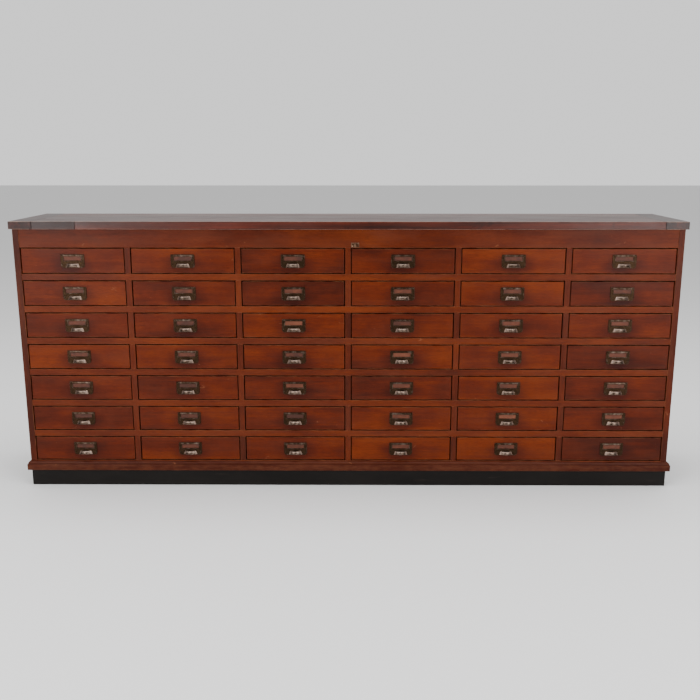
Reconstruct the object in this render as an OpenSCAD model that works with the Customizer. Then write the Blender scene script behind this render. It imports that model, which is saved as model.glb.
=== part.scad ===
// Apothecary cabinet: a long, low bank of equal drawers with card-frame cup pulls.
// X runs across the front, Y from front to back and Z up. The origin is on the floor,
// under the middle of the whole object. Rows count from the top, columns from the left.

/* [Drawer bank] */
// Drawers in one row
columns = 6; // [2:1:6]
// Rows of drawers
rows = 7; // [2:1:7]
// Clear width of one drawer opening
opening_w = 379; // [240:1:400]
// Clear height of one drawer opening
opening_h = 95.2; // [94:0.2:130]

/* [Frame] */
// Depth of the case from the face of the frame to the outside of the back
body_d = 396; // [330:1:460]
// Width of the short uprights between two drawers
stile_w = 21; // [18:1:36]
// Depth of the short uprights
stile_d = 30; // [24:1:40]
// Thickness of the two end boards
side_t = 23; // [18:1:30]
// Height of the rails between two rows
rail_h = 24; // [18:1:32]
// Depth of the rails
rail_d = 60; // [45:1:80]
// Height of the rail under the lowest row
bottom_rail_h = 38.6; // [36:0.2:60]
// Height of the plain board above the top row
frieze_h = 67; // [50:1:90]
// Thickness of the plain board above the top row
frieze_t = 24; // [18:1:30]
// Thickness of the boards of the back
back_t = 12; // [8:1:16]
// Number of boards in the back
back_boards_n = 10; // [6:1:14]

/* [Top] */
// Thickness of the top
top_t = 28; // [22:1:36]
// How far the top stands over the front
top_over_front = 14; // [6:1:18]
// How far the top stands over each end
top_over_side = 7.5; // [4:0.5:20]
// Width of the cross boards at the two ends of the top
top_end_w = 84; // [60:1:120]
// Width of the block let into the front edge of the top
patch_w = 156; // [80:1:200]
// Depth of that block
patch_d = 30; // [20:1:40]

/* [Base] */
// Height of the plinth
plinth_h = 62; // [40:1:100]
// Thickness of the plinth boards
plinth_t = 22; // [16:1:28]
// How far the base moulding stands out
mould_out = 12; // [11:1:16]

/* [Drawers] */
// Thickness of a drawer front
front_t = 20; // [16:1:24]
// How far a front lies behind the face of the frame
front_inset = 1.5; // [0:0.5:4]
// Clearance at each end of a front
front_gap_side = 3; // [1:0.5:4]
// Clearance over a front
front_gap_top = 3.5; // [1:0.5:5]
// Clearance under a front
front_gap_bottom = 2.5; // [0.5:0.5:3]
// Thickness of the drawer sides and back
board_t = 10; // [8:1:13]
// Height of the drawer sides
board_h = 85; // [76:1:88]
// Thickness of the drawer bottom
bottom_t = 6; // [4:1:8]
// Length of a drawer, front included
drawer_l = 356; // [300:1:356]

/* [Pulls] */
// Width of the card frame
plate_w = 86; // [76:1:96]
// Height of the card frame, with the part that the cup stands on
plate_h = 49; // [46:1:56]
// Thickness of the card frame
plate_t = 2.4; // [2:0.1:3]
// Width of the card window
window_w = 64; // [50:1:66]
// Height of the card window
window_h = 15; // [12:1:18]
// Width of the cup at its mouth
cup_w = 52; // [46:1:60]
// Height of the cup
cup_h = 15; // [14:1:18]
// How far the cup stands out from the drawer front
cup_out = 16; // [15:1:20]
// Thickness of the cup's wall
cup_wall = 2; // [1.5:0.1:2.4]

/* [Hidden] */
// round shapes
$fn = 48;
// a line of glue between two boards of one assembly
glue = 0.2;
// how far a cutting shape runs past what it cuts
past = 1;

// across the cabinet
pitch_x = opening_w + stile_w;
bank_w = columns * pitch_x - stile_w;
body_w = bank_w + 2 * side_t;
half_w = body_w / 2;
inner_x = bank_w / 2;

// front to back: the cups are the foremost thing, and the back the hindmost
pull_reach = cup_out + glue / 2 - front_inset;
face_y = -(body_d - max(pull_reach, top_over_front, mould_out)) / 2;
back_y = face_y + body_d;
post_t = 20;
post_y = back_y - back_t - post_t;

// heights
pitch_z = opening_h + rail_h;
bank_z = plinth_h + bottom_rail_h;
bank_top = bank_z + rows * pitch_z - rail_h;
case_top = bank_top + frieze_h;
bottom_board_t = 12;
floor_z = plinth_h + bottom_board_t;

// inner frame
runner_lap = 18.5;
guide_h = 40;
guide_play = 0.5;
stop_w = 40;
stop_d = 12;
stop_h = 5;
stop_gap = 0.3;
rear_rail_h = case_top - bank_top - rail_h;
back_gap = 0.6;

// plinth
bearer_t = 22;
block_w = 34;

// base moulding, from the bottom up: a block with a rounded foot, a step and a quarter round
mould_foot = 3;
mould_block = 24;
mould_neck = 2;
mould_round = 9;
mould_h = mould_block + mould_neck + mould_round;

// drawers
front_w = opening_w - 2 * front_gap_side;
front_h = opening_h - front_gap_top - front_gap_bottom;
front_edge = 1;
side_lift = 0.5;
bottom_lift = 8;
back_drop = 5;

// pulls
cup_round = 4;
cup_draft = 15;
cup_radius = (pow(cup_w / 2, 2) + pow(cup_out, 2)) / (2 * cup_out);
cup_axis = cup_radius - cup_out;
cup_lift = 4;
// the sloping side is cup_radius from the axis at the height of the mouth's front
cup_crown_r = cup_radius - (cup_round + (cup_h - cup_round - cup_lift) * sin(cup_draft)) / cos(cup_draft);
shoulder_steps = 6;
cup_foot = 1;
pull_drop = 0.85;
plate_foot_r = 10;
plate_top_r = 2;
window_top = 7.5;
rim_w = 2.5;
rim_top = 5;
rim_t = 0.8;
card_lap = 2;
card_t = 0.6;
card_play = 0.2;
pin_r = 1;
pin_play = 0.1;
pin_l = 12;
pin_head_r = 2.4;
pin_head_h = 1.2;
pin_x = plate_w / 2 - 4.8;
pin_low = 12;
pin_high = 4.8;

// brass plate on the frieze
tag_w = 29;
tag_h = 17;
tag_t = 1.2;
tag_x = 26;
tag_z = bank_top + 10;
tag_corner = 3;
tag_pin_out = 0.8;
tag_hole_r = 2;
tag_hole_x = 9;
tag_hole_z = -3.5;

// middle of a column's openings
function column_x(c) = (c - (columns + 1) / 2) * pitch_x;
// floor of a row's openings
function row_z(r) = bank_z + (rows - r) * pitch_z;
// middle of the upright to the right of column c, from 0 at the left end to columns at the right
function upright_x(c) = c == 0 ? -half_w + side_t / 2
                      : c == columns ? half_w - side_t / 2
                      : (c - columns / 2) * pitch_x;
// left and right edge of what lies behind that upright and laps under the drawers beside it
function lapped_x(c, lap) = [c == 0 ? -inner_x : upright_x(c) - stile_w / 2 - lap,
                             c == columns ? inner_x : upright_x(c) + stile_w / 2 + lap];

// A span of width w about the place x
function about(x, w) = [x - w / 2, x + w / 2];
// A place on the cup's rounded shoulder, as [radius, height], for the angle a above the level
function shoulder_point(a, round_r) = [cup_crown_r + round_r * cos(a), cup_h - cup_round + round_r * sin(a)];

// A board between two places on each axis
module board(x, y, z) {
    translate([x[0], y[0], z[0]])
        cube([x[1] - x[0], y[1] - y[0], z[1] - z[0]]);
}

// ---- top ----

top_w = body_w + 2 * top_over_side;
top_front = face_y - top_over_front;
top_d = back_y - top_front;
top_main = top_w / 2 - top_end_w;
plank_d = (top_d - 2 * glue) / 3;
patch_x = -top_main;

module top_boards() {
    color("#5b4642")
        for (i = [0:2]) {
            y = top_front + i * (plank_d + glue);
            difference() {
                board([-top_main + glue, top_main - glue], [y, y + plank_d], [case_top, case_top + top_t]);
                board([patch_x - past, patch_x + patch_w + glue],
                      [top_front - past, top_front + patch_d + glue],
                      [case_top - past, case_top + top_t + past]);
            }
        }
}

module top_end_boards() {
    color("#4e3b38")
        for (side = [-1, 1])
            translate([side * (top_main + top_end_w / 2), 0, 0])
                board(about(0, top_end_w), [top_front, back_y], [case_top, case_top + top_t]);
}

module top_edge_patch() {
    color("#3f3433")
        board([patch_x + glue, patch_x + patch_w], [top_front, top_front + patch_d],
              [case_top, case_top + top_t]);
}

// ---- case ----

module end_board(side) {
    color("#5e2a1c")
        translate([side * (half_w - side_t / 2), 0, 0])
            board(about(0, side_t), [face_y, back_y], [plinth_h, case_top]);
}

module frieze_rail() {
    color("#7a3a20")
        board([-inner_x, inner_x], [face_y, face_y + frieze_t], [bank_top, case_top]);
}

// A thin worn plate with one pin in it and one empty pin hole
module frieze_plate() {
    color("#b08d4f")
        translate([tag_x, face_y, tag_z])
            rotate([90, 0, 0]) {
                linear_extrude(tag_t)
                    difference() {
                        union() {
                            square([tag_w - 2 * tag_corner, tag_h], center = true);
                            square([tag_w, tag_h - 2 * tag_corner], center = true);
                            for (x = [-1, 1], y = [-1, 1])
                                translate([x * (tag_w / 2 - tag_corner), y * (tag_h / 2 - tag_corner)])
                                    circle(tag_corner);
                        }
                        for (x = [-tag_hole_x, tag_hole_x])
                            translate([x, tag_hole_z]) circle(tag_hole_r);
                    }
                translate([-tag_hole_x, tag_hole_z, 0])
                    cylinder(r = tag_hole_r - pin_play, h = tag_t + tag_pin_out);
            }
}

// The rails between the rows run unbroken from end board to end board
module drawer_rails() {
    color("#8a4426") {
        for (r = [1:rows - 1])
            board([-inner_x, inner_x], [face_y, face_y + rail_d], [row_z(r) - rail_h, row_z(r)]);
        board([-inner_x, inner_x], [face_y, face_y + rail_d], [plinth_h, bank_z]);
    }
}

module drawer_stiles() {
    color("#74402b")
        for (r = [1:rows], c = [1:columns - 1])
            board(lapped_x(c, 0), [face_y, face_y + stile_d], [row_z(r), row_z(r) + opening_h]);
}

// Front-to-back bearers that the drawer sides slide on
module drawer_runners() {
    color("#9c7b52")
        for (r = [1:rows], c = [0:columns])
            board(lapped_x(c, runner_lap), [face_y + rail_d, post_y], [row_z(r) - rail_h, row_z(r)]);
}

// They keep the top row's drawers from dropping at the front when they are drawn out
module top_kickers() {
    color("#9c7b52")
        for (c = [0:columns])
            board(lapped_x(c, runner_lap), [face_y + frieze_t, post_y], [bank_top, bank_top + rail_h]);
}

module drawer_guides() {
    color("#a3845c")
        for (r = [1:rows], c = [1:columns - 1])
            board(lapped_x(c, -guide_play), [face_y + stile_d, post_y], [row_z(r), row_z(r) + guide_h]);
}

// Small blocks on the rails that each closed front rests against
module drawer_stops() {
    stop_y = face_y + front_inset + front_t + stop_gap;
    color("#a3845c")
        for (r = [1:rows], c = [1:columns])
            board(about(column_x(c), stop_w), [stop_y, stop_y + stop_d], [row_z(r), row_z(r) + stop_h]);
}

module rear_frame() {
    color("#9c7b52") {
        for (c = [0:columns])
            board(lapped_x(c, runner_lap), [post_y, post_y + post_t],
                  [floor_z, case_top - rear_rail_h - glue]);
        board([-inner_x, inner_x], [post_y, post_y + post_t], [case_top - rear_rail_h, case_top]);
    }
}

module back_boards() {
    plank_w = (2 * inner_x + back_gap) / back_boards_n;
    color("#8d7049")
        for (i = [0:back_boards_n - 1])
            board([-inner_x + i * plank_w, -inner_x + (i + 1) * plank_w - back_gap],
                  [back_y - back_t, back_y], [plinth_h, case_top]);
}

module bottom_board() {
    color("#8d7049")
        board([-inner_x, inner_x], [face_y + rail_d, back_y - back_t], [plinth_h, floor_z]);
}

// ---- base ----

module mould_profile() {
    translate([mould_foot, 0]) mirror([1, 0]) square([mould_foot, mould_block]);
    square([mould_out - mould_foot, mould_block]);
    translate([0, mould_foot]) square([mould_out, mould_block - mould_foot]);
    translate([mould_out - mould_foot, mould_foot]) circle(mould_foot);
    square([mould_round, mould_block + mould_neck]);
    translate([0, mould_block + mould_neck])
        intersection() {
            circle(mould_round);
            square(mould_round);
        }
}

// One length of moulding, standing out along -Y from the line y = 0
module mould_length(l) {
    rotate([90, 0, -90])
        translate([0, 0, -l / 2])
            linear_extrude(l) mould_profile();
}

// The front length and its two returns, mitred at the corners
module base_moulding() {
    out_x = half_w + mould_out;
    color("#6a3a24")
        translate([0, 0, plinth_h]) {
            intersection() {
                translate([0, face_y, 0]) mould_length(2 * out_x);
                linear_extrude(mould_h)
                    polygon([[-out_x, face_y - mould_out], [out_x, face_y - mould_out],
                             [half_w, face_y], [-half_w, face_y]]);
            }
            for (side = [0, 1])
                mirror([side, 0, 0])
                    intersection() {
                        translate([half_w, (face_y - mould_out + back_y) / 2, 0])
                            rotate([0, 0, 90]) mould_length(body_d + mould_out);
                        linear_extrude(mould_h)
                            polygon([[half_w, face_y + glue], [out_x, face_y - mould_out + glue],
                                     [out_x, back_y], [half_w, back_y]]);
                    }
        }
}

// Four boards, two cross bearers and the glue blocks in the corners
module plinth_frame() {
    front_in = face_y + plinth_t + glue;
    back_in = back_y - plinth_t - glue;
    inside_x = half_w - plinth_t - glue;
    color("#1c1b1a") {
        board([-half_w, half_w], [face_y, face_y + plinth_t], [0, plinth_h]);
        board([-half_w, half_w], [back_y - plinth_t, back_y], [0, plinth_h]);
        for (side = [0, 1])
            mirror([side, 0, 0]) {
                board([half_w - plinth_t, half_w], [front_in, back_in], [0, plinth_h]);
                board(about(half_w / 3, bearer_t), [front_in, back_in], [0, plinth_h]);
                for (y = [front_in, back_in - block_w])
                    board([inside_x - block_w, inside_x], [y, y + block_w], [glue, plinth_h]);
            }
    }
}

// ---- drawers ----

// A front with its outer edges eased: plain boards crossed so that every edge is a bevel
module drawer_front() {
    x = front_w / 2;
    intersection() {
        linear_extrude(front_h)
            polygon([[-x, front_t], [-x, front_edge], [-x + front_edge, 0],
                     [x - front_edge, 0], [x, front_edge], [x, front_t]]);
        rotate([90, 0, 90])
            translate([0, 0, -x])
                linear_extrude(front_w)
                    polygon([[front_t, 0], [front_edge, 0], [0, front_edge],
                             [0, front_h - front_edge], [front_edge, front_h], [front_t, front_h]]);
    }
}

// Where the four pins go, seen from the middle of the card frame
module at_pins() {
    for (x = [-pin_x, pin_x], z = [pin_low - plate_h / 2, plate_h / 2 - pin_high])
        translate([x, 0, z])
            rotate([90, 0, 0]) children();
}

// A blunt cone about an upright axis, with a rounded shoulder. inward is how far its skin lies inside
module cup_form(inward = 0) {
    round_r = cup_round - inward;
    foot_z = -past - inward;
    meet = shoulder_point(cup_draft, round_r);
    foot_r = meet[0] + (meet[1] - foot_z) * tan(cup_draft);
    shoulder = [for (i = [0:shoulder_steps])
        shoulder_point(cup_draft + (90 - cup_draft) * i / shoulder_steps, round_r)];
    rotate_extrude() polygon(concat([[0, foot_z], [foot_r, foot_z]], shoulder, [[0, cup_h - inward]]));
}

// The half-round hood that the fingers go into from below. Its mouth rises towards the front
module cup() {
    reach = cup_out + past;
    intersection() {
        translate([0, cup_axis, 0])
            difference() {
                cup_form();
                cup_form(cup_wall);
            }
        rotate([90, 0, 90])
            translate([0, 0, -plate_w / 2])
                linear_extrude(plate_w)
                    polygon([[0, 0], [-reach, cup_lift * reach / cup_out], [-reach, cup_h + past],
                             [0, cup_h + past]]);
    }
}

// Outline of the card frame, with well rounded corners at its foot
module plate_outline() {
    half_x = plate_w / 2;
    half_z = plate_h / 2;
    translate([plate_foot_r - half_x, -half_z]) square([plate_w - 2 * plate_foot_r, plate_h]);
    translate([-half_x, plate_foot_r - half_z])
        square([plate_w, plate_h - plate_foot_r - plate_top_r]);
    translate([plate_top_r - half_x, 0]) square([plate_w - 2 * plate_top_r, half_z]);
    for (side = [-1, 1]) {
        translate([side * (half_x - plate_foot_r), plate_foot_r - half_z]) circle(plate_foot_r);
        translate([side * (half_x - plate_top_r), half_z - plate_top_r]) circle(plate_top_r);
    }
}

// Card frame and cup in one casting. The middle of its back is the origin
module pull_casting() {
    window_x = about(0, window_w);
    window_z = [plate_h / 2 - window_top - window_h, plate_h / 2 - window_top];
    difference() {
        union() {
            rotate([90, 0, 0]) linear_extrude(plate_t) plate_outline();
            board(about(0, window_w + 2 * rim_w), [-plate_t - rim_t, -plate_t / 2],
                  window_z + [-rim_w, rim_top]);
            translate([0, 0, cup_foot - plate_h / 2]) cup();
        }
        // the window, and the pocket behind it that the card lies in
        board(window_x, [-plate_t - rim_t - past, past], window_z);
        board(about(0, window_w + 2 * card_lap), [-card_t - card_play, past],
              window_z + [-card_lap, card_lap]);
        translate([0, past, 0]) at_pins() cylinder(r = pin_r + pin_play, h = plate_t + 2 * past);
    }
}

module card() {
    lap = card_lap - card_play;
    board(about(0, window_w + 2 * lap), [-card_t - card_play / 2, -card_play / 2],
          [plate_h / 2 - window_top - window_h - lap, plate_h / 2 - window_top + lap]);
}

module pin() {
    translate([0, 0, plate_t + glue])
        intersection() {
            translate([0, 0, pin_head_h - pin_head_r]) sphere(pin_head_r);
            cylinder(r = pin_head_r, h = pin_head_h + past);
        }
    translate([0, 0, -pin_l]) cylinder(r = pin_r, h = pin_l + plate_t + glue + pin_head_h / 2);
}

module drawer(r, c) {
    box_x = front_w / 2;
    box_in = box_x - board_t - glue;
    front_in = front_t + glue;
    z_back = bottom_lift + bottom_t + glue;
    pull_z = front_gap_bottom + front_h / 2 - pull_drop;
    shades = ["#8c3f20", "#7c3520", "#93441f", "#6e3023"];
    translate([column_x(c), face_y + front_inset, row_z(r)]) {
        color(shades[(3 * r + 5 * c) % len(shades)])
            difference() {
                translate([0, 0, front_gap_bottom]) drawer_front();
                translate([0, pin_l, pull_z]) at_pins() cylinder(r = pin_r + pin_play, h = pin_l + past);
            }
        color("#b08c5e") {
            for (side = [0, 1])
                mirror([side, 0, 0])
                    board([box_x - board_t, box_x], [front_in, drawer_l], [side_lift, side_lift + board_h]);
            board([-box_in, box_in], [drawer_l - board_t, drawer_l], [z_back, board_h - back_drop]);
            board([-box_in, box_in], [front_in, drawer_l], [bottom_lift, bottom_lift + bottom_t]);
        }
        translate([0, -glue / 2, pull_z]) {
            color("#3a332b") pull_casting();
            color("#8a6a58") card();
            color("#2f2923") at_pins() pin();
        }
    }
}

// ---- what is drawn ----

top_boards();
top_end_boards();
top_edge_patch();
end_board(-1);  // left_side
end_board(1);  // right_side
frieze_rail();
frieze_plate();
drawer_rails();
drawer_stiles();
drawer_runners();
top_kickers();
drawer_guides();
drawer_stops();
rear_frame();
back_boards();
bottom_board();
base_moulding();
plinth_frame();
for (r = [1:rows], c = [1:columns])
    drawer(r, c);
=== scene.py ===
import math
import bmesh
import bpy
import numpy as np
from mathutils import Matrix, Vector


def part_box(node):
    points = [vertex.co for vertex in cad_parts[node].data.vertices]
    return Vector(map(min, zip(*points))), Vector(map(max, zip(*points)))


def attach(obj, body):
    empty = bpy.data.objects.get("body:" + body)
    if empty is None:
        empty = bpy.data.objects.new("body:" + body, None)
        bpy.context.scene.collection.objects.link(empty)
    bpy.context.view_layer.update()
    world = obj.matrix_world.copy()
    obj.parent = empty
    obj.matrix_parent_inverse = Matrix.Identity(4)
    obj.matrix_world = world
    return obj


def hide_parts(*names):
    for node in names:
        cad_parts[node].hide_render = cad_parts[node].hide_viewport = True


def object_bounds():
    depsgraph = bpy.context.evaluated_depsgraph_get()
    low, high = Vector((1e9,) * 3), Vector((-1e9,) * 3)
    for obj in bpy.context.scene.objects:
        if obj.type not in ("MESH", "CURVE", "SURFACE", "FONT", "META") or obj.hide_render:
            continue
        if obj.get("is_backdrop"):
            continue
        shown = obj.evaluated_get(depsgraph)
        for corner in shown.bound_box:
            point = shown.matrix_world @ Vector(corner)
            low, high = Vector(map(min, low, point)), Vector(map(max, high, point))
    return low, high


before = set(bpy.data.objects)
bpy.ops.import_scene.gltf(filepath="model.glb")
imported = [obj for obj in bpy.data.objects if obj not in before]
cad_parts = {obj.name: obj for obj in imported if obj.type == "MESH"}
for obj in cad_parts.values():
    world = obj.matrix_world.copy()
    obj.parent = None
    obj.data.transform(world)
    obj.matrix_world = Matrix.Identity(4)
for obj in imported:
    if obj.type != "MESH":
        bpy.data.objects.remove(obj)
CAD_LOW, CAD_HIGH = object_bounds()
MM = 0.001
ROOT = "cabinet"
SAME_POINT = 2e-6
ALONG = {"x": (0, 1, 2), "y": (1, 0, 2), "z": (2, 0, 1)}


# ---------------------------------------------------------------- geometry

def loose_boxes(node):
    """The box of each separate solid of a CAD node: [(low, high)], in metres."""
    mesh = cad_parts[node].data
    co = np.empty(len(mesh.vertices) * 3)
    mesh.vertices.foreach_get("co", co)
    co = co.reshape(-1, 3)
    _, ids = np.unique(np.round(co / SAME_POINT).astype(np.int64), axis=0, return_inverse=True)
    ids = ids.ravel()
    tri = np.empty(len(mesh.loops), np.int64)
    mesh.loops.foreach_get("vertex_index", tri)
    tri = ids[tri].reshape(-1, 3)
    label = np.arange(ids.max() + 1)
    while True:
        low = label[tri].min(1)
        new = label.copy()
        for k in range(3):
            np.minimum.at(new, tri[:, k], low)
        new = new[new]
        if (new == label).all():
            break
        label = new
    of_vertex = label[ids]
    solids = [co[of_vertex == one] for one in np.unique(of_vertex)]
    return [(solid.min(0), solid.max(0)) for solid in solids]


class Piece:
    """Collects vertices, faces and the surface data that the materials read."""

    def __init__(self, name, seed):
        self.name, self.rng = name, np.random.default_rng(seed)
        self.co, self.faces, self.smooth = [], [], []
        self.grain, self.edge, self.normal, self.tone = [], [], [], []
        self.gap_shade = 0.0

    def add(self, co, faces, axis="x", edge=0.0, normal=None, smooth=False, tone=0.0, fixed=None):
        """Adds a shell. edge is its wear, below 0 for dirt, and on the pull partly painted highlight; fixed
        gives its place in the grain.
        """
        co = np.asarray(co, float).reshape(-1, 3)
        first, n = sum(len(c) for c in self.co), len(co)
        shift = self.rng.uniform(0, 9, 3) if fixed is None else np.asarray(fixed, float)
        self.co.append(co)
        self.faces += [[first + i for i in f] for f in faces]
        self.smooth += [smooth] * len(faces)
        self.grain.append(co[:, list(ALONG[axis])] + shift)
        self.edge.append(np.broadcast_to(np.asarray(edge, float), n))
        self.tone.append(np.full(n, tone))
        self.normal.append(np.zeros((n, 3)) if normal is None else normal)

    def board(self, low, high, axis="x", r=1.0, tone=0.0, worn=1.0, upright=1.0):
        """A board with rounded edges; axis is the way its grain runs, upright the wear of upright edges."""
        low, high = np.asarray(low, float), np.asarray(high, float)
        r = min(r * MM, (high - low).min() * 0.45)
        bm = bmesh.new()
        bmesh.ops.create_cube(bm, size=1.0)
        for v in bm.verts:
            v.co = Vector((low + high) / 2 + np.array(v.co) * (high - low))
        bmesh.ops.bevel(bm, geom=bm.edges[:], offset=r, offset_type="OFFSET", segments=3,
                        profile=0.5, affect="EDGES", clamp_overlap=False)
        bm.verts.index_update()
        co = np.array([v.co for v in bm.verts])
        faces = [[v.index for v in f.verts] for f in bm.faces]
        bm.free()
        away = co - np.clip(co, low + r, high - r)
        normal = away / np.maximum(np.linalg.norm(away, axis=1, keepdims=True), 1e-12)
        beyond = np.abs(away) > r * 1e-3
        edge = worn * (beyond.sum(1) > 1) * np.where(beyond[:, 2], 1.0, upright)
        self.add(co, faces, axis, edge, normal, True, tone)
        return self

    def build(self, body, material, slot, nodes=()):
        """Makes the mesh object, lets it ride on a body and hides the CAD nodes that it replaces."""
        co, normal = np.concatenate(self.co), np.concatenate(self.normal)
        mesh = bpy.data.meshes.new(self.name)
        mesh.from_pydata(co.tolist(), [], self.faces)
        mesh.polygons.foreach_set("use_smooth", self.smooth)
        middle = (co.min(0) + co.max(0)) / 2
        gap_shade = np.full(len(co), self.gap_shade)
        for key, shells in (("grain", self.grain), ("edge", self.edge), ("tone", self.tone),
                            ("place", [co - middle]), ("gap_shade", [gap_shade])):
            values = np.concatenate(shells)
            kind, field = ("FLOAT_VECTOR", "vector") if values.ndim == 2 else ("FLOAT", "value")
            mesh.attributes.new(key, kind, "POINT").data.foreach_set(field, values.ravel())
        mesh.update()
        if np.abs(normal).sum() > 0:
            own = np.empty(len(co) * 3)
            mesh.vertex_normals.foreach_get("vector", own)
            own = own.reshape(-1, 3)
            none = np.abs(normal).sum(1) == 0
            normal[none] = own[none]
            mesh.normals_split_custom_set_from_vertices(normal.tolist())
        mesh.materials.append(material)
        obj = bpy.data.objects.new(self.name, mesh)
        bpy.context.scene.collection.objects.link(obj)
        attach(obj, body)
        for node in nodes:
            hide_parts(node)
        return obj


def ring_faces(rings, n, closed=True):
    """Quads between rings of n points that follow one another."""
    last = n if closed else n - 1
    return [[a * n + i, a * n + (i + 1) % n, (a + 1) * n + (i + 1) % n, (a + 1) * n + i]
            for a in range(rings - 1) for i in range(last)]


def round_rect(half_w, low, high, r_low, r_high, steps=6):
    """Points of a rounded rectangle, always the same number of them."""
    points = []
    for x, z, r, start in ((half_w, high, r_high, 0), (-half_w, high, r_high, 90),
                           (-half_w, low, r_low, 180), (half_w, low, r_low, 270)):
        cx, cz = x - math.copysign(r, x), (z - r if z == high else z + r)
        for k in range(steps + 1):
            a = math.radians(start + 90 * k / steps)
            points.append((cx + r * math.cos(a), cz + r * math.sin(a)))
    return np.array(points)


# ---------------------------------------------------------------- materials

class Nodes:
    """Short names for the few shader nodes that every material and the world here use."""

    def __init__(self, name, world=None):
        self.owner = world or bpy.data.materials.new(name)
        self.owner.use_nodes = True
        self.nt = self.owner.node_tree
        if world is None:
            self.bsdf = self.nt.nodes["Principled BSDF"]
            self.space = self.attribute("grain", "Vector")

    def attribute(self, name, out="Fac"):
        node = self.nt.nodes.new("ShaderNodeAttribute")
        node.attribute_name = name
        return node.outputs[out]

    def facing(self, axis, times, plus):
        """How far a face looks along an axis, scaled and kept between 0 and 1."""
        shape = self.nt.nodes.new("ShaderNodeNewGeometry")
        split = self.nt.nodes.new("ShaderNodeSeparateXYZ")
        self.nt.links.new(shape.outputs["True Normal"], split.inputs[0])
        return self.math("MULTIPLY_ADD", split.outputs[axis], times, plus, True)

    def spot(self, centre, size):
        """1 at a place on the piece, falling to 0 at the given half sizes."""
        node = self.nt.nodes.new("ShaderNodeMapping")
        node.inputs["Location"].default_value = [-c / s for c, s in zip(centre, size)]
        node.inputs["Scale"].default_value = [1 / s for s in size]
        self.nt.links.new(self.attribute("place", "Vector"), node.inputs["Vector"])
        length = self.nt.nodes.new("ShaderNodeVectorMath")
        length.operation = "LENGTH"
        self.nt.links.new(node.outputs["Vector"], length.inputs[0])
        return self.ramp(length.outputs["Value"], [(0.35, 1.0), (1.0, 0.0)], "EASE")

    def noise(self, scale, detail=3.0, rough=0.55, distort=0.0, turn=(0, 0, 0)):
        place = self.nt.nodes.new("ShaderNodeMapping")
        place.inputs["Scale"].default_value = scale
        place.inputs["Rotation"].default_value = [math.radians(a) for a in turn]
        self.nt.links.new(self.space, place.inputs["Vector"])
        node = self.nt.nodes.new("ShaderNodeTexNoise")
        node.inputs["Scale"].default_value = 1.0
        node.inputs["Detail"].default_value = detail
        node.inputs["Roughness"].default_value = rough
        node.inputs["Distortion"].default_value = distort
        self.nt.links.new(place.outputs["Vector"], node.inputs["Vector"])
        return node.outputs["Fac"]

    def ramp(self, value, stops, kind="LINEAR"):
        """A colour ramp; each stop is a place and a colour or a grey."""
        node = self.nt.nodes.new("ShaderNodeValToRGB")
        node.color_ramp.interpolation = kind
        while len(node.color_ramp.elements) < len(stops):
            node.color_ramp.elements.new(0.5)
        for element, (at, colour) in zip(node.color_ramp.elements, stops):
            element.position = at
            element.color = (*colour, 1) if isinstance(colour, tuple) else (colour, colour, colour, 1)
        self.nt.links.new(value, node.inputs["Fac"])
        return node.outputs["Color"]

    def math(self, how, a, b=0.0, c=None, clamp=False):
        node = self.nt.nodes.new("ShaderNodeMath")
        node.operation, node.use_clamp = how, clamp
        for socket, value in zip(node.inputs, (a, b) if c is None else (a, b, c)):
            if isinstance(value, (int, float)):
                socket.default_value = value
            else:
                self.nt.links.new(value, socket)
        return node.outputs[0]

    def mix(self, how, factor, a, b):
        node = self.nt.nodes.new("ShaderNodeMix")
        node.data_type, node.blend_type, node.clamp_factor = "RGBA", how, True
        for socket, value in ((node.inputs[0], factor), (node.inputs[6], a), (node.inputs[7], b)):
            if isinstance(value, (int, float)):
                socket.default_value = value if socket == node.inputs[0] else (value, value, value, 1)
            elif isinstance(value, tuple):
                socket.default_value = (*value, 1)
            else:
                self.nt.links.new(value, socket)
        return node.outputs[2]

    def bump(self, height, strength, distance, under=None):
        node = self.nt.nodes.new("ShaderNodeBump")
        node.inputs["Strength"].default_value = strength
        node.inputs["Distance"].default_value = distance
        self.nt.links.new(height, node.inputs["Height"])
        if under is not None:
            self.nt.links.new(under, node.inputs["Normal"])
        return node.outputs["Normal"]

    def set(self, socket, value):
        socket = self.bsdf.inputs[socket]
        if isinstance(value, (int, float)):
            socket.default_value = value
        else:
            self.nt.links.new(value, socket)


STAINED, DULLED = (0.42, 0.36, 0.34), (0.100, 0.026, 0.012)
# HANDLED is for handled fronts; the other colour is painted shade for the faces in the gaps between parts
HANDLED, GAP_SHADE_COLOUR = (0.50, 0.42, 0.55), (0.16, 0.13, 0.12)
HANDLED_AT, HANDLED_SIZE = (0, 0, -14 * MM), (100 * MM, 1.0, 58 * MM)


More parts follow.
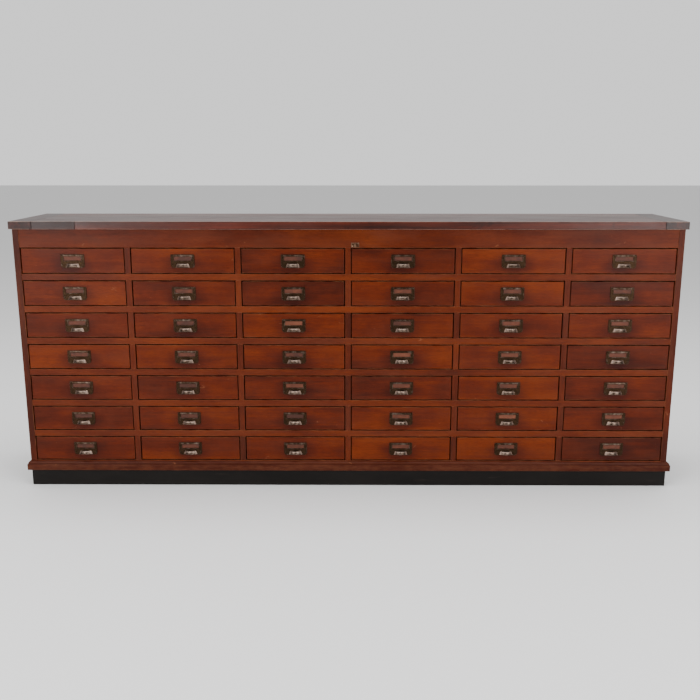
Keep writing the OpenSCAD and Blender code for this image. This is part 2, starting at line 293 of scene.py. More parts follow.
def wood(name, dark, middle, light, worn, rough=(0.30, 0.46), shine=0.11, fibre=0.35, wear=0.8,
         stains=0.6, bump=0.25, handled=0.0, blotch=0.66, bloom=0.0, nicks=0.0):
    """Wood with its grain along the piece's own length. tone shifts a piece darker or lighter.

    handled darkens the wood round the middle of a front, bloom dulls the varnish in patches, nicks are pale
    flecks, and a piece with gap_shade gets painted shade on every side but the one that looks to the front.
    """
    n = Nodes(name)
    bands = n.noise((1.5, 15, 15), 5, 0.55, 0.4)
    streaks = n.noise((6, 110, 110), 4, 0.6, 0.2)
    pores = n.noise((55, 1500, 1500), 2, 0.5)
    clouds = n.noise((5.5, 9, 9), 3, 0.5)
    tone = n.attribute("tone")
    spread = n.math("MULTIPLY_ADD", bands, 0.50, n.math("MULTIPLY_ADD", streaks, 0.34, tone))
    spread = n.math("MULTIPLY_ADD", n.math("SUBTRACT", clouds, 0.5), blotch, n.math("ADD", spread, 0.33))
    colour = n.ramp(n.math("SUBTRACT", spread, 0.25), [(0.28, dark), (0.50, middle), (0.74, light)])
    fine = n.ramp(pores, [(0.36, 1 - fibre), (0.56, 1.0)])
    colour = n.mix("MULTIPLY", 1.0, colour, fine)
    stain = n.ramp(n.noise((4.5, 9, 9), 5, 0.68), [(0.60, 0.0), (0.76, 1.0)])
    colour = n.mix("MULTIPLY", n.math("MULTIPLY", stain, stains), colour, STAINED)
    if bloom:
        dulled = n.ramp(n.noise((3.2, 16, 16), 5, 0.62, 0.6), [(0.46, 0.0), (0.68, 1.0)])
        colour = n.mix("MIX", n.math("MULTIPLY", dulled, bloom), colour, DULLED)
    if handled:
        grime = n.math("MULTIPLY", n.spot(HANDLED_AT, HANDLED_SIZE), handled)
        colour = n.mix("MULTIPLY", grime, colour, HANDLED)
    # painted shade: where gap_shade is set, every face but those looking to the front is darkened, for the
    # dark gaps between parts
    gap_shade_mask = n.math("MULTIPLY", n.facing("Y", 2.2, 1.9), n.attribute("gap_shade"))
    colour = n.mix("MULTIPLY", gap_shade_mask, colour, GAP_SHADE_COLOUR)
    patchy = n.ramp(n.noise((26, 60, 60), 4, 0.6), [(0.38, 0.0), (0.62, 1.0)])
    rubbed = n.math("MULTIPLY", n.math("MULTIPLY", n.attribute("edge"), patchy), wear, clamp=True)
    colour = n.mix("MIX", rubbed, colour, worn)
    if nicks:
        flecks = n.ramp(n.noise((26, 60, 60), 4, 0.6, 0.8), [(0.70, 0.0), (0.74, 1.0)])
        colour = n.mix("MIX", n.math("MULTIPLY", flecks, nicks), colour, worn)
    n.set("Base Color", colour)
    span = n.math("MULTIPLY_ADD", clouds, rough[1] - rough[0], rough[0])
    n.set("Roughness", n.math("MULTIPLY_ADD", rubbed, 0.12, span))
    n.set("Specular IOR Level", shine)
    wavy = n.bump(n.noise((3, 14, 14), 2), 0.10, 0.004)
    n.set("Normal", n.bump(pores, bump, 0.0003, n.bump(streaks, bump * 0.6, 0.0006, wavy)))
    return n.owner


# the first colour is the grey of the upward faces of the top: partly the varnish's haze, partly painted
# reflection
HAZE_AND_SHEEN_GREY, VARNISHED, MARKED = (0.115, 0.086, 0.084), (1.00, 0.34, 0.13), (0.35, 0.32, 0.34)
SCRATCHED, BARED, DIRTY = (0.23, 0.16, 0.14), (0.33, 0.21, 0.155), (0.12, 0.11, 0.11)


def worn_top(name):
    """The wood of the top under a marked varnish; where it faces up it is scratched and greyed, partly by
    haze and partly as painted reflection.
    """
    n = Nodes(name)
    bands = n.noise((1.1, 24, 24), 6, 0.66, 0.6)
    streaks = n.noise((4, 150, 150), 4, 0.6, 0.2)
    pores = n.noise((50, 1400, 1400), 2, 0.5)
    spread = n.math("MULTIPLY_ADD", streaks, 0.5, bands)
    spread = n.math("ADD", spread, n.attribute("tone"))
    colour = n.ramp(n.math("SUBTRACT", spread, 0.25),
                    [(0.26, (0.020, 0.009, 0.008)), (0.5, (0.060, 0.024, 0.018)),
                     (0.78, (0.125, 0.048, 0.032))])
    upward = n.facing("Z", 2.5, -1.2)
    # where the top faces up it is mixed towards grey: partly haze, partly painted reflection of the bright
    # room
    haze_and_sheen = n.ramp(n.noise((2.6, 4.5, 4.5), 5, 0.7), [(0.42, 0.0), (0.70, 1.0)])
    grey = n.mix("MIX", n.math("MULTIPLY_ADD", haze_and_sheen, 0.45, 0.16), colour, HAZE_AND_SHEEN_GREY)
    colour = n.mix("MIX", upward, n.mix("MULTIPLY", 1.0, colour, VARNISHED), grey)
    marks = n.ramp(n.noise((7, 11, 11), 4, 0.75, 1.2), [(0.60, 0.0), (0.66, 1.0)])
    colour = n.mix("MULTIPLY", n.math("MULTIPLY", marks, 0.6), colour, MARKED)
    colour = n.mix("MULTIPLY", 1.0, colour, n.ramp(pores, [(0.36, 0.68), (0.56, 1.0)]))
    along = n.noise((3.5, 230, 60), 3, 0.6, 0.35, (0, 0, 9))
    across = n.noise((170, 5.0, 60), 3, 0.6, 0.5, (0, 0, 31))
    long_scratch = n.ramp(along, [(0.68, 0.0), (0.71, 1.0)])
    cross_scratch = n.ramp(across, [(0.715, 0.0), (0.735, 1.0)])
    scratch = n.math("MULTIPLY", n.math("MAXIMUM", long_scratch, cross_scratch), upward)
    colour = n.mix("MIX", n.math("MULTIPLY", scratch, 0.28), colour, SCRATCHED)
    patchy = n.ramp(n.noise((22, 50, 50), 4, 0.6), [(0.30, 0.0), (0.52, 1.0)])
    rubbed = n.math("MULTIPLY", n.math("MULTIPLY", n.attribute("edge"), patchy), 0.9, clamp=True)
    colour = n.mix("MIX", rubbed, colour, BARED)
    dirt = n.math("MULTIPLY", n.attribute("edge"), -1.0, clamp=True)
    n.set("Base Color", n.mix("MULTIPLY", dirt, colour, DIRTY))
    dull = n.math("MULTIPLY_ADD", haze_and_sheen, 0.17, 0.30)
    n.set("Roughness", n.math("MULTIPLY_ADD", scratch, 0.15, dull))
    n.set("Specular IOR Level", 0.28)
    wavy = n.bump(n.noise((4, 22, 22), 3), 0.16, 0.004)
    cuts = n.bump(n.math("SUBTRACT", 1.0, scratch), 0.25, 0.0003, wavy)
    n.set("Normal", n.bump(pores, 0.22, 0.0003, n.bump(streaks, 0.2, 0.0006, cuts)))
    return n.owner


def metal(name, dark, bright, rough=(0.30, 0.52), spots=0.35):
    """Old metal: a dark skin that is rubbed through to bright where edge is high, and made lighter still as
    a painted highlight where edge passes 0.9.
    """
    n = Nodes(name)
    blotch = n.noise((70, 70, 70), 5, 0.65)
    grit = n.noise((900, 900, 900), 2, 0.5)
    rub = n.math("MULTIPLY_ADD", n.math("SUBTRACT", blotch, 0.5), spots * 2, n.attribute("edge"))
    rub = n.ramp(rub, [(0.20, 0.0), (0.66, 1.0)])
    skin = n.mix("MULTIPLY", 0.7, dark, n.ramp(n.noise((160, 160, 160), 3), [(0.35, 0.55), (0.65, 1.25)]))
    # painted highlight: where edge passes 0.9 the bare metal is lightened up to 2.4 times
    painted_highlight_mask = n.math("MULTIPLY_ADD", n.attribute("edge"), 3.0, -2.7, clamp=True)
    bare_and_highlight = n.mix("MIX", painted_highlight_mask, bright, tuple(min(0.9, 2.4 * c) for c in bright))
    n.set("Base Color", n.mix("MIX", rub, skin, bare_and_highlight))
    n.set("Metallic", 1.0)
    n.set("Roughness", n.math("MULTIPLY_ADD", blotch, rough[1] - rough[0], rough[0]))
    n.set("Normal", n.bump(grit, 0.12, 0.0002, n.bump(blotch, 0.2, 0.0006)))
    return n.owner


def paint(name, colour, scuffed):
    """Old paint, scuffed here and there and rubbed at its edges."""
    n = Nodes(name)
    clouds = n.noise((4, 9, 9), 4, 0.6)
    scuff = n.ramp(n.noise((9, 60, 60), 5, 0.7, 0.4), [(0.60, 0.0), (0.72, 1.0)])
    base = n.mix("MULTIPLY", 0.8, colour, n.ramp(clouds, [(0.3, 0.6), (0.7, 1.3)]))
    base = n.mix("MIX", n.math("MULTIPLY", scuff, 0.35), base, scuffed)
    patchy = n.ramp(n.noise((30, 60, 60), 4), [(0.45, 0.0), (0.65, 1.0)])
    rubbed = n.math("MULTIPLY", n.attribute("edge"), patchy)
    n.set("Base Color", n.mix("MIX", n.math("MULTIPLY", rubbed, 0.6), base, scuffed))
    n.set("Roughness", n.math("MULTIPLY_ADD", clouds, 0.2, 0.42))
    n.set("Specular IOR Level", 0.12)
    n.set("Normal", n.bump(n.noise((12, 130, 130), 4), 0.25, 0.0006))
    return n.owner


def card_stock(name):
    """Browned card behind the window of each pull."""
    n = Nodes(name)
    clouds = n.noise((40, 60, 60), 4, 0.6)
    tone = n.math("MULTIPLY_ADD", clouds, 0.8, n.attribute("tone"))
    n.set("Base Color", n.ramp(tone, [(0.2, (0.050, 0.0120, 0.0050)), (0.5, (0.108, 0.026, 0.0105)),
                                      (0.9, (0.190, 0.056, 0.024))]))
    n.set("Roughness", n.math("MULTIPLY_ADD", clouds, 0.2, 0.42))
    n.set("Specular IOR Level", 0.3)
    n.set("Normal", n.bump(n.noise((400, 400, 400), 2), 0.08, 0.0002))
    return n.owner


CASE = wood("mahogany_case", (0.050, 0.0072, 0.0018), (0.098, 0.0135, 0.0024), (0.155, 0.0255, 0.0040),
            (0.24, 0.085, 0.036), wear=0.7, bloom=0.4, nicks=0.5)
FRONT = wood("mahogany_front", (0.050, 0.0060, 0.0010), (0.102, 0.0118, 0.0012), (0.165, 0.0245, 0.0020),
             (0.30, 0.115, 0.052), wear=0.65, handled=0.8, bloom=0.2, nicks=0.3)
TOP = worn_top("worn_top")
PALE = wood("bare_wood", (0.26, 0.150, 0.070), (0.38, 0.235, 0.115), (0.50, 0.330, 0.175),
            (0.56, 0.40, 0.24), rough=(0.55, 0.75), fibre=0.22, wear=0.4, stains=0.5, bump=0.4, blotch=0.3)
BACK = wood("back_wood", (0.13, 0.066, 0.031), (0.22, 0.120, 0.058), (0.31, 0.180, 0.090),
            (0.40, 0.26, 0.15), rough=(0.6, 0.8), fibre=0.3, wear=0.5, stains=0.6, bump=0.5, blotch=0.35)
BLACK = paint("black_plinth", (0.0090, 0.0072, 0.0062), (0.038, 0.027, 0.021))
BRONZE = metal("pull_bronze", (0.034, 0.019, 0.0105), (0.28, 0.205, 0.165), spots=0.42)
BRASS = metal("plate_brass", (0.060, 0.028, 0.015), (0.46, 0.27, 0.175), (0.30, 0.48))
CARD = card_stock("label_card")


# ---------------------------------------------------------------- the case

# seeds of the pieces that replace_boards does not make
TOP_SEED, END_SEED, PATCH_SEED, MOULD_SEED, TAG_SEED, DRAWER_SEED = 400, 420, 430, 440, 450, 1000


def replace_boards(node, material, slot, axis, r=1.0, name=None, joined=True, worn=1.0, tones=0.05,
                   tone=0.0, upright=1.0, gap_shade=0.0):
    """Every solid of a node of plain boards, as boards with worn edges."""
    boxes = sorted(loose_boxes(node), key=lambda b: (-round(b[0][2], 4), round(b[0][0], 4), b[0][1]))
    seed = sum(map(ord, node))
    rng = np.random.default_rng(seed)
    made = Piece(name or node + "_worn", seed)
    for i, (low, high) in enumerate(boxes):
        piece = made if joined else Piece(f"{name or node}_{i + 1}", seed + i)
        piece.gap_shade = gap_shade
        piece.board(low, high, axis, r, rng.normal(tone, tones), worn, upright)
        if not joined:
            piece.build(ROOT, material, slot, [node])
    if joined:
        made.build(ROOT, material, slot, [node])


replace_boards("left_side", CASE, "case_wood", "z", 1.6, tone=-0.14)
replace_boards("right_side", CASE, "case_wood", "z", 1.6, tone=-0.14)
replace_boards("frieze_rail", CASE, "case_wood", "x", 1.2, tone=0.10)
# the rails and stiles get painted shade on all but their front faces, for the dark gaps round the drawers
replace_boards("drawer_rails", CASE, "case_wood", "x", 1.3, name="rail", joined=False, tones=0.02,
               tone=0.07, gap_shade=1.0)
replace_boards("drawer_stiles", CASE, "case_wood", "z", 0.9, name="stiles", tone=-0.05, upright=0.3,
               gap_shade=1.0)
for plain_node, run in (("drawer_runners", "y"), ("top_kickers", "y"), ("drawer_guides", "y"),
                        ("drawer_stops", "x"), ("rear_frame", "z"), ("bottom_board", "x")):
    replace_boards(plain_node, PALE, "inner_wood", run, 0.8)
replace_boards("back_boards", BACK, "inner_wood", "z", 3.0, worn=0.3, tones=0.09)
replace_boards("plinth_frame", BLACK, "black_plinth", "x", 1.5)

# the top: three long boards, the front one notched for the let-in block
top_boxes = sorted(loose_boxes("top_boards"), key=lambda b: b[0][1])
patch_low, patch_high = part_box("top_edge_patch")
top_low, top_high = (np.array(v[:2]) for v in (CAD_LOW, CAD_HIGH))
JOINT = -0.8
OPEN_WITHIN = 2 * MM
TOP_ROUND, END_ROUND = 1.0, 1.6
REAR_TONES, END_TONE, PATCH_TONE = (-0.06, 0.07), -0.20, -0.18


def top_piece(piece, node):
    """Builds a piece of the top, with dirt instead of wear where it meets the next board."""
    for k, co in enumerate(piece.co):
        outside = (co[:, :2] < top_low + OPEN_WITHIN) | (co[:, :2] > top_high - OPEN_WITHIN)
        open_edge = outside.any(1)
        piece.edge[k] = np.where(open_edge, piece.edge[k], JOINT * (piece.edge[k] > 0))
    piece.build(ROOT, TOP, "worn_top", [node])


def notched_board(piece, low, high, gap):
    """The front board as two blocks, right of the notch and behind it, with no rounding between them."""
    shift = piece.rng.uniform(0, 9, 3)
    start, seam_y = patch_high[0] + gap, patch_high[1] + gap
    for a, b in (((start, low[1]), (high[0], seam_y)), ((low[0], seam_y), (high[0], high[1]))):
        block = Piece("block", 0).board((*a, low[2]), (*b, high[2]), "x", TOP_ROUND, upright=JOINT)
        co, edge, normal = (data[0].copy() for data in (block.co, block.edge, block.normal))
        inner = np.abs(co[:, 1] - seam_y) < 1.1 * TOP_ROUND * MM
        hidden = inner & (co[:, 0] > start + 0.5 * TOP_ROUND * MM)
        co[hidden, 1] = seam_y
        normal[hidden, 1] = 0
        normal[hidden] /= np.maximum(np.linalg.norm(normal[hidden], axis=1, keepdims=True), 1e-9)
        edge[inner] = 0
        piece.add(co, block.faces, "x", edge, normal, smooth=True, fixed=shift)


for i, (low, high) in enumerate(top_boxes):
    piece = Piece(f"top_board_{i + 1}", TOP_SEED + i)
    if i == 0:
        notched_board(piece, low, high, top_boxes[1][0][1] - high[1])
    else:
        piece.board(low, high, "x", TOP_ROUND, tone=REAR_TONES[i - 1], worn=0.5, upright=JOINT)
    top_piece(piece, "top_boards")
for i, (low, high) in enumerate(sorted(loose_boxes("top_end_boards"), key=lambda b: b[0][0])):
    piece = Piece(f"top_end_board_{i + 1}", END_SEED + i)
    piece.board(low, high, "y", END_ROUND, tone=END_TONE, upright=JOINT)
    top_piece(piece, "top_end_boards")
patch = Piece("top_patch", PATCH_SEED)
patch.board(patch_low, patch_high, "x", TOP_ROUND, tone=PATCH_TONE, upright=JOINT)
top_piece(patch, "top_edge_patch")

# the base moulding: a rounded foot, a flat face, a step and a quarter round
case_low, case_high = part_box("left_side")[0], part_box("right_side")[1]
mould_low, mould_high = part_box("base_moulding")
OUT = case_low[1] - mould_low[1]
MITRE_GAP = 0.2 * MM
MOULD_WEAR, MOULD_TONE, SHARP = 0.2, -0.30, math.radians(32)
front_y, back_y = case_low[1], case_high[1]


def mould_section():
    """(out, up, worn) points of the moulding, from its foot to its top."""
    foot, edge, ovolo, step = 3 * MM, 0.6 * MM, 9 * MM, 2 * MM
    block = mould_high[2] - mould_low[2] - ovolo - step
    points = [(0.0, 0.0, 0)]
    points += [(OUT - foot + foot * math.sin(a), foot - foot * math.cos(a), 1)
               for a in np.linspace(0, math.pi / 2, 6)]
    points += [(OUT - edge + edge * math.cos(a), block - edge + edge * math.sin(a), 1)
               for a in np.linspace(0, math.pi / 2, 4)]
    points += [(ovolo, block, 0), (ovolo, block + step, 0)]
    points += [(ovolo * math.cos(a), block + step + ovolo * math.sin(a), 0.5)
               for a in np.linspace(0.15, math.pi / 2, 8)]
    return points


def moulding(name, ends, seed, axis):
    """ends gives, for a distance out, the two ends of that line of the section."""
    section = mould_section()
    rows = [ends(out) for out, _, _ in section]
    co = [(*p, mould_low[2] + up) for (a, b), (_, up, _) in zip(rows, section) for p in (a, b)]
    n = len(section)
    faces = [[2 * i, 2 * i + 1, 2 * (i + 1) % (2 * n) + 1, 2 * (i + 1) % (2 * n)] for i in range(n)]
    faces += [[2 * i for i in range(n)][::-1], [2 * i + 1 for i in range(n)]]
    piece = Piece(name, seed)
    worn = MOULD_WEAR * np.repeat([w for _, _, w in section], 2)
    piece.add(co, faces, axis, worn, smooth=True, tone=MOULD_TONE)
    obj = piece.build(ROOT, CASE, "case_wood", ["base_moulding"])
    bm = bmesh.new()
    bm.from_mesh(obj.data)
    bmesh.ops.recalc_face_normals(bm, faces=bm.faces[:])
    for e in bm.edges:
        e.smooth = len(e.link_faces) == 2 and e.calc_face_angle(0) < SHARP
    bm.to_mesh(obj.data)
    bm.free()


def front_line(out):
    """The ends of a line of the front moulding, mitred at both corners."""
    return (case_low[0] - out, front_y - out), (case_high[0] + out, front_y - out)


def side_line(x, sign):
    """The same for the moulding on a side at x, from its mitre to the back."""
    return lambda out: ((x + sign * out, front_y - out + MITRE_GAP), (x + sign * out, back_y))


moulding("moulding_front", front_line, MOULD_SEED, "x")
moulding("moulding_left", side_line(case_low[0], -1), MOULD_SEED, "y")
moulding("moulding_right", side_line(case_high[0], 1), MOULD_SEED + 2, "y")

# the little plate on the frieze: worn, with one pin and one empty pin hole
tag_low, tag_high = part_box("frieze_plate")
tag_x, tag_z = (tag_low[0] + tag_high[0]) / 2, (tag_low[2] + tag_high[2]) / 2
TAG_T, TAG_HOLE, TAG_OFF, TAG_DROP = 1.2 * MM, 2.0 * MM, 9 * MM, -3.5 * MM
TAG_CORNER, TAG_SOFT = 0.4 * MM, 0.35 * MM
TAG_PIN = ((1.9, 0.0), (1.9, 1.7), (1.5, 2.0), (0.8, 2.15))
TAG_PIN_SIDES = 16
tag = Piece("frieze_plate_worn", TAG_SEED)
half_w, half_h = (tag_high[0] - tag_low[0]) / 2, (tag_high[2] - tag_low[2]) / 2


def tag_half(sign):
    """Half of the plate around one hole, as rings from the back edge over the face into the hole."""
    outline = round_rect(half_w / 2, -half_h, half_h, TAG_CORNER, TAG_CORNER)
    outline[:, 0] += half_w / 2
    outer_end = outline[:, 0] > half_w - 0.5 * MM
    angle = np.arctan2(outline[:, 1] - TAG_DROP, outline[:, 0] - TAG_OFF)
    hole = np.stack([TAG_OFF + TAG_HOLE * np.cos(angle), TAG_DROP + TAG_HOLE * np.sin(angle)], 1)
    soft = outline.copy()
    soft[outer_end] -= np.sign(soft[outer_end]) * TAG_SOFT
    rings = [(outline, 0.0), (outline, TAG_T * 0.7), (soft, TAG_T), (hole, TAG_T), (hole, 0.0)]
    co = [(tag_x + sign * p[0], front_y - y, tag_z + p[1]) for ring, y in rings for p in ring]
    faces = ring_faces(len(rings), len(outline))
    worn = np.repeat([0.15, 0.5, 0.38, 0.15, 0.0], len(outline))
    tag.add(co, faces if sign < 0 else [f[::-1] for f in faces], "x", worn, fixed=(0, 0, 0))


tag_half(-1)
tag_half(1)
co = [(tag_x - TAG_OFF + r * MM * math.cos(a), front_y - y * MM, tag_z + TAG_DROP + r * MM * math.sin(a))
      for r, y in TAG_PIN for a in np.linspace(0, 2 * math.pi, TAG_PIN_SIDES, endpoint=False)]
crown = list(range(len(co) - TAG_PIN_SIDES, len(co)))
tag.add(co, ring_faces(len(TAG_PIN), TAG_PIN_SIDES) + [crown], "x", 0.8, smooth=True)
tag.build(ROOT, BRASS, "brass", ["frieze_plate"])

# ---------------------------------------------------------------- the drawers

# the pull: its sizes are in millimetres
CUP_W, CUP_H, CUP_OUT, CUP_WALL, CUP_ROUND, CUP_LIFT = 52.0, 15.0, 16.0, 2.0, 4.0, 4.0
CUP_DRAFT = math.radians(15)
CUP_STEPS = 29
LIP_R, LIP_TOP = 1.0, 1.1
SIDE_HEIGHTS = (LIP_TOP, 4.0, 7.0, 9.5)
# wear of the cup's sloping side, its shoulder and its flat top, outside and inside, and of its lip; the
# shoulder's higher value is partly a painted highlight
OUTER_WEAR_AND_HIGHLIGHT, INNER_WORN, LIP_WORN = (0.32, 0.62, 0.26), (0.05, 0.05, 0.05), 0.54
PLATE_T, RIM_T, RIM_W, RIM_TOP = 2.4, 0.8, 2.5, 5.0
WINDOW_W, WINDOW_H, WINDOW_TOP = 64.0, 15.0, 7.5
PLATE_R_LOW, PLATE_R_HIGH = 10, 2
# rings of a pin's head: radius, how far out it lies and how worn it is
PIN_HEAD = ((2.4, 0.0, 0.0), (2.3, 0.35, 0.05), (1.9, 0.8, 0.1), (1.1, 1.13, 0.2), (0.35, 1.2, 0.3))
PIN_SIDES = 14


def cup_parts():
    """The half-round cup as a grid of points in millimetres, its axis upright, its back on y = 0."""
    radius = ((CUP_W / 2) ** 2 + CUP_OUT ** 2) / (2 * CUP_OUT)
    axis = radius - CUP_OUT
    round_z, slope = CUP_H - CUP_ROUND, math.tan(CUP_DRAFT)
    crown = radius - (CUP_ROUND + (round_z - CUP_LIFT) * math.sin(CUP_DRAFT)) / math.cos(CUP_DRAFT)

    def wall(inward, worn):
        """From the mouth up the sloping side, over the shoulder and along the flat top to the back."""
        rounding = CUP_ROUND - inward
        meet_r = crown + rounding * math.cos(CUP_DRAFT)
        meet_z = round_z + rounding * math.sin(CUP_DRAFT)
        line = [(meet_r + (meet_z - z) * slope, z, worn[0]) for z in SIDE_HEIGHTS]
        line += [(crown + rounding * math.cos(a), round_z + rounding * math.sin(a), worn[1])
                 for a in np.linspace(CUP_DRAFT, math.pi / 2, 8)]
        return line + [((axis + crown) / 2, CUP_H - inward, worn[2]), (axis + 0.02, CUP_H - inward, worn[2])]

    outer, inner = wall(0, OUTER_WEAR_AND_HIGHLIGHT), wall(CUP_WALL, INNER_WORN)
    lip_r, half_wall = (outer[0][0] + inner[0][0]) / 2, (outer[0][0] - inner[0][0]) / 2
    lip = [(lip_r + half_wall * math.cos(a), LIP_R - math.sin(a), LIP_WORN)
           for a in np.linspace(0.25, math.pi - 0.25, 5)]
    profile = outer[::-1] + lip + inner
    across = np.linspace(-1, 1, CUP_STEPS)
    co, worn = [], []
    for r, z, w in profile:
        reach = math.acos(min(1.0, axis / r)) if r > axis else 0.0
        for u in across:
            y = axis - r * math.cos(u * reach)
            rise = CUP_LIFT * max(0.0, -y) / CUP_OUT
            co.append((r * math.sin(u * reach), y, max(z, rise + min(z, LIP_TOP))))
            # painted highlight: the outer ends of the cup's outside and lip, its arms, are made bright metal
            arm_highlight = 1.5 * min(1.0, max(0.0, (abs(u) - 0.50) / 0.30))
            worn.append(max(w, arm_highlight) if w > 0.2 else w)
    return np.array(co), ring_faces(len(profile), len(across), False), np.array(worn)


def plate_parts():
    """The card frame as rings, from its back edge over the face and the raised rim into the window."""
    half = PLATE_H / 2
    low, high = half - WINDOW_TOP - WINDOW_H, half - WINDOW_TOP

    def outline(inset, y, worn):
        less = inset * 0.8
        points = round_rect(PLATE_W / 2 - inset, inset - half, half - inset, PLATE_R_LOW - less,
                            PLATE_R_HIGH - less)
        return points, y, worn

    # worn_top is the wear of the rim above the window; its higher values there are partly a painted
    # highlight on the top bar
    def window(side, top, y, worn, worn_top, r=0.6):
        points = round_rect(WINDOW_W / 2 + side, low - side, high + top, r, r)
        return points, y, np.where(points[:, 1] > high, worn_top, worn)

    # each ring is its points, how far forward it lies and how worn it is
    face, rim = -PLATE_T, -PLATE_T - RIM_T
    rings = [outline(0, 0.0, 0.1), outline(0, face + 0.6, 0.15), outline(0.25, face + 0.15, 0.3),
             outline(0.7, face, 0.12),
             window(RIM_W + 0.5, RIM_TOP + 0.5, face, 0.05, 0.15, 1.0),
             window(RIM_W, RIM_TOP, face - 0.15, 0.1, 0.3, 1.0),
             window(RIM_W - 0.4, RIM_TOP - 1.4, rim + 0.15, 0.26, 0.27),
             window(RIM_W - 0.9, RIM_TOP - 2.6, rim, 0.23, 0.23),
             window(0.5, 0.5, rim, 0.2, 0.2), window(0.1, 0.1, rim + 0.3, 0.15, 0.2),
             window(0.0, 0.0, -0.85, 0.0, 0.0)]
    co = [(p[0], y, p[1]) for ring, y, _ in rings for p in ring]
    worn = np.concatenate([np.broadcast_to(w, len(rings[0][0])) for _, _, w in rings])
    return np.array(co), ring_faces(len(rings), len(rings[0][0])), worn


def pin_parts():
    """A domed pin head with a rubbed crown."""
    turn = np.linspace(0, 2 * math.pi, PIN_SIDES, endpoint=False)
    co = [(r * math.cos(a), -y, r * math.sin(a)) for r, y, _ in PIN_HEAD for a in turn]
    crown = list(range(len(co) - PIN_SIDES, len(co)))
    worn = np.repeat([w for _, _, w in PIN_HEAD], PIN_SIDES)
    return np.array(co), ring_faces(len(PIN_HEAD), PIN_SIDES) + [crown], worn


def drawer_solids():
    """The boxes of the first drawer's solids by what they are, told from their sizes in millimetres."""
    found = {"pins": []}
    for low, high in loose_boxes("drawer_r1_c1"):
        size = (high - low) / MM
        if size[0] < 10 and size[2] < 10:
            found["pins"].append((low, high))
        elif size[0] < 15:
            found["side_a" if "side_a" not in found else "side_b"] = (low, high)
        elif size[2] < 10:
            found["bottom"] = (low, high)
        elif size[1] < 2:
            found["card"] = (low, high)
        elif size[0] < 100:
            found["pull"] = (low, high)
        elif size[1] < 15:
            found["back"] = (low, high)
        else:
            found["front"] = (low, high)
    return found


SOLIDS = drawer_solids()
PULL_LOW, PULL_HIGH = SOLIDS["pull"]
PLATE_W, PLATE_H = (PULL_HIGH[0] - PULL_LOW[0]) / MM, (PULL_HIGH[2] - PULL_LOW[2]) / MM
PULL_AT = np.array([(PULL_LOW[0] + PULL_HIGH[0]) / 2, PULL_HIGH[1], (PULL_LOW[2] + PULL_HIGH[2]) / 2])
CUP, PLATE, PIN = cup_parts(), plate_parts(), pin_parts()
FIRST = np.array(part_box("drawer_r1_c1")[0])

# fronts that differ from the rest, as (row, column), by how many steps darker or brighter they are; the
# brighter steps of the fifth column are a painted highlight
STEP = 0.12
UNLIKE = {-3: {(2, 3), (7, 6)},
          -2: {(1, 3), (4, 6)},
          -1: {(1, 4), (5, 3), (5, 4), (5, 6), (6, 6), (2, 6), (7, 1), (6, 1), (7, 3)},
          1: {(1, 2), (2, 1), (4, 1), (4, 2), (3, 5), (4, 5), (6, 4), (7, 2), (7, 4), (1, 6)},
          2: {(1, 5), (2, 5), (5, 5), (7, 5)}}

# each piece of a drawer adds its own number to the drawer's seed
BOX_SEED, PULL_SEED, PINS_SEED, CARD_SEED = 100, 200, 300, 400
# how far the edges are rounded, in millimetres
FRONT_ROUND, BOX_ROUND, CARD_ROUND = 1.7, 0.7, 0.1

for name in sorted(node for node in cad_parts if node.startswith("drawer_r") and "_c" in node):
    row, column = (int(part[1:]) for part in name.split("_")[1:])
    shift = np.array(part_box(name)[0]) - FIRST
    seed = DRAWER_SEED + 10 * row + column
    rng = np.random.default_rng(seed)
    steps = sum(count for count, fronts in UNLIKE.items() if (row, column) in fronts)
    tone = rng.normal(0, 0.03) + STEP * steps

    low, high = (v + shift for v in SOLIDS["front"])
    front = Piece(name + "_front", seed).board(low, high, "x", FRONT_ROUND, tone=tone * 0.6, upright=0.2)
    # painted shade on the front's sides, top, bottom and back, for the dark gaps round it
    front.gap_shade = 1.0
    front.build(name, FRONT, "drawer_wood", [name])

    box = Piece(name + "_box", seed + BOX_SEED)
    for part, axis in (("side_a", "y"), ("side_b", "y"), ("back", "x"), ("bottom", "x")):
        low, high = (v + shift for v in SOLIDS[part])
        box.board(low, high, axis, BOX_ROUND, tone=rng.normal(0, 0.05))
    box.build(name, PALE, "inner_wood", [name])

    at = PULL_AT + shift
    pull = Piece(name + "_pull", seed + PULL_SEED)
    spot = rng.uniform(0, 9, 3)
    co, faces, worn = PLATE
    pull.add(at + co * MM, faces, "x", worn, fixed=spot)
    co, faces, worn = CUP
    co = co + np.array([0, 0, 1 - PLATE_H / 2])
    pull.add(at + co * MM, faces, "x", worn * rng.uniform(0.88, 1.08), smooth=True, fixed=spot)
    pull.build(name, BRONZE, "pull_bronze", [name])

    pins = Piece(name + "_pins", seed + PINS_SEED)
    for low, high in SOLIDS["pins"]:
        co, faces, worn = PIN
        place = np.array([(low[0] + high[0]) / 2, PULL_AT[1] - PLATE_T * MM, (low[2] + high[2]) / 2]) + shift
        pins.add(place + co * MM, faces, "x", worn, smooth=True, fixed=spot)
    pins.build(name, BRONZE, "pull_bronze", [name])

    low, high = (v + shift for v in SOLIDS["card"])
    card = Piece(name + "_card", seed + CARD_SEED)
    card.board(low, high, "x", CARD_ROUND, tone=rng.normal(0.0, 0.13))
    card.build(name, CARD, "card", [name])

# ---------------------------------------------------------------- floor, light and camera

# how bright the world is to the camera, and as light: all round, and more towards the back and the top
BACKDROP = 1.1
AROUND, TO_BACK, TO_TOP = 0.32, 0.28, 0.66
# the camera: lens in millimetres, place in metres with its distance from the front, angles in degrees
LENS, SENSOR = 44.84, 36.0
CAMERA_X, CAMERA_OUT, CAMERA_Z = 0.028, 3.152, 1.251
CAMERA_DOWN, CAMERA_TURN = 12.84, 0.375


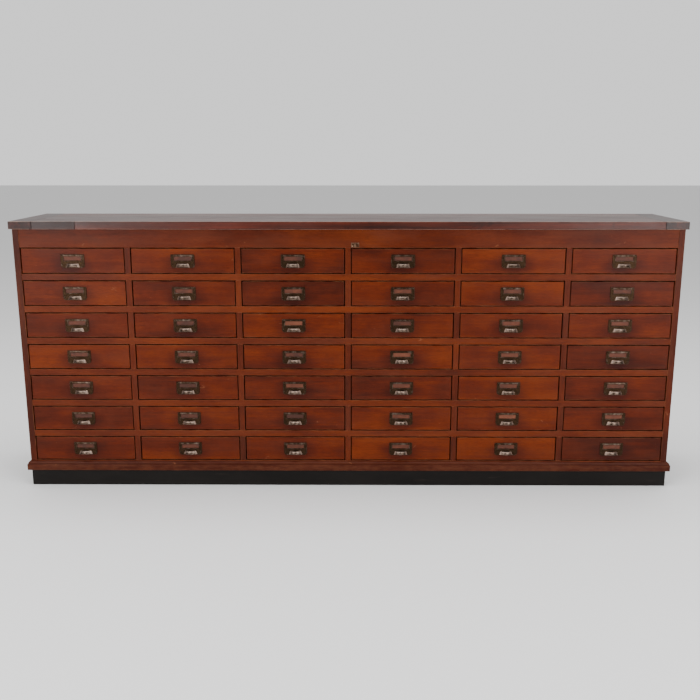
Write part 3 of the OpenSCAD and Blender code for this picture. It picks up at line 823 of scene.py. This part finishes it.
def plain(name, colour, rough):
    """One colour all over, for the floor."""
    mat = bpy.data.materials.new(name)
    mat.use_nodes = True
    shader = mat.node_tree.nodes["Principled BSDF"]
    shader.inputs["Base Color"].default_value = (*colour, 1)
    shader.inputs["Roughness"].default_value = rough
    return mat


bpy.ops.mesh.primitive_plane_add(size=60, location=(0, 0, 0))
floor = bpy.context.object
floor.name = "floor"
floor.data.materials.append(plain("pale_floor", (0.82, 0.82, 0.82), 0.7))
floor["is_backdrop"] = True

world = bpy.data.worlds.new("studio")
bpy.context.scene.world = world
sky = Nodes("studio", world)
background = sky.nt.nodes["Background"]
background.inputs["Color"].default_value = (1, 1, 1, 1)
way = sky.nt.nodes.new("ShaderNodeTexCoord")
split = sky.nt.nodes.new("ShaderNodeSeparateXYZ")
sky.nt.links.new(way.outputs["Generated"], split.inputs[0])
glow = sky.math("MULTIPLY_ADD", split.outputs["Y"], TO_BACK, AROUND)
glow = sky.math("MULTIPLY_ADD", split.outputs["Z"], TO_TOP, glow, True)
seen = sky.nt.nodes.new("ShaderNodeLightPath").outputs["Is Camera Ray"]
glow = sky.math("MULTIPLY_ADD", sky.math("SUBTRACT", BACKDROP, glow), seen, glow)
sky.nt.links.new(glow, background.inputs["Strength"])


def lamp(name, place, aim, size, power):
    """A white rectangular lamp that looks from a place to an aim."""
    data = bpy.data.lights.new(name, "AREA")
    data.shape, data.size, data.size_y, data.energy = "RECTANGLE", *size, power
    obj = bpy.data.objects.new(name, data)
    obj.location = place
    obj.rotation_euler = (Vector(aim) - Vector(place)).to_track_quat("-Z", "Y").to_euler()
    bpy.context.scene.collection.objects.link(obj)
    obj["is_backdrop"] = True


lamp("left_soft", (-2.15, -3.2, 1.25), (-0.4, 0, 0.6), (1.2, 1.9), 55)
lamp("right_soft", (2.15, -3.2, 1.25), (0.4, 0, 0.6), (1.2, 1.9), 55)
lamp("overhead", (0, -0.6, 4.5), (0, -0.4, 0), (6.0, 4.0), 260)

camera = bpy.data.objects.new("camera", bpy.data.cameras.new("camera"))
bpy.context.scene.collection.objects.link(camera)
camera.data.lens, camera.data.sensor_width = LENS, SENSOR
camera.location = (CAMERA_X, front_y - CAMERA_OUT, CAMERA_Z)
camera.rotation_euler = (math.radians(90 - CAMERA_DOWN), 0, math.radians(CAMERA_TURN))
bpy.context.scene.camera = camera

low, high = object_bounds()
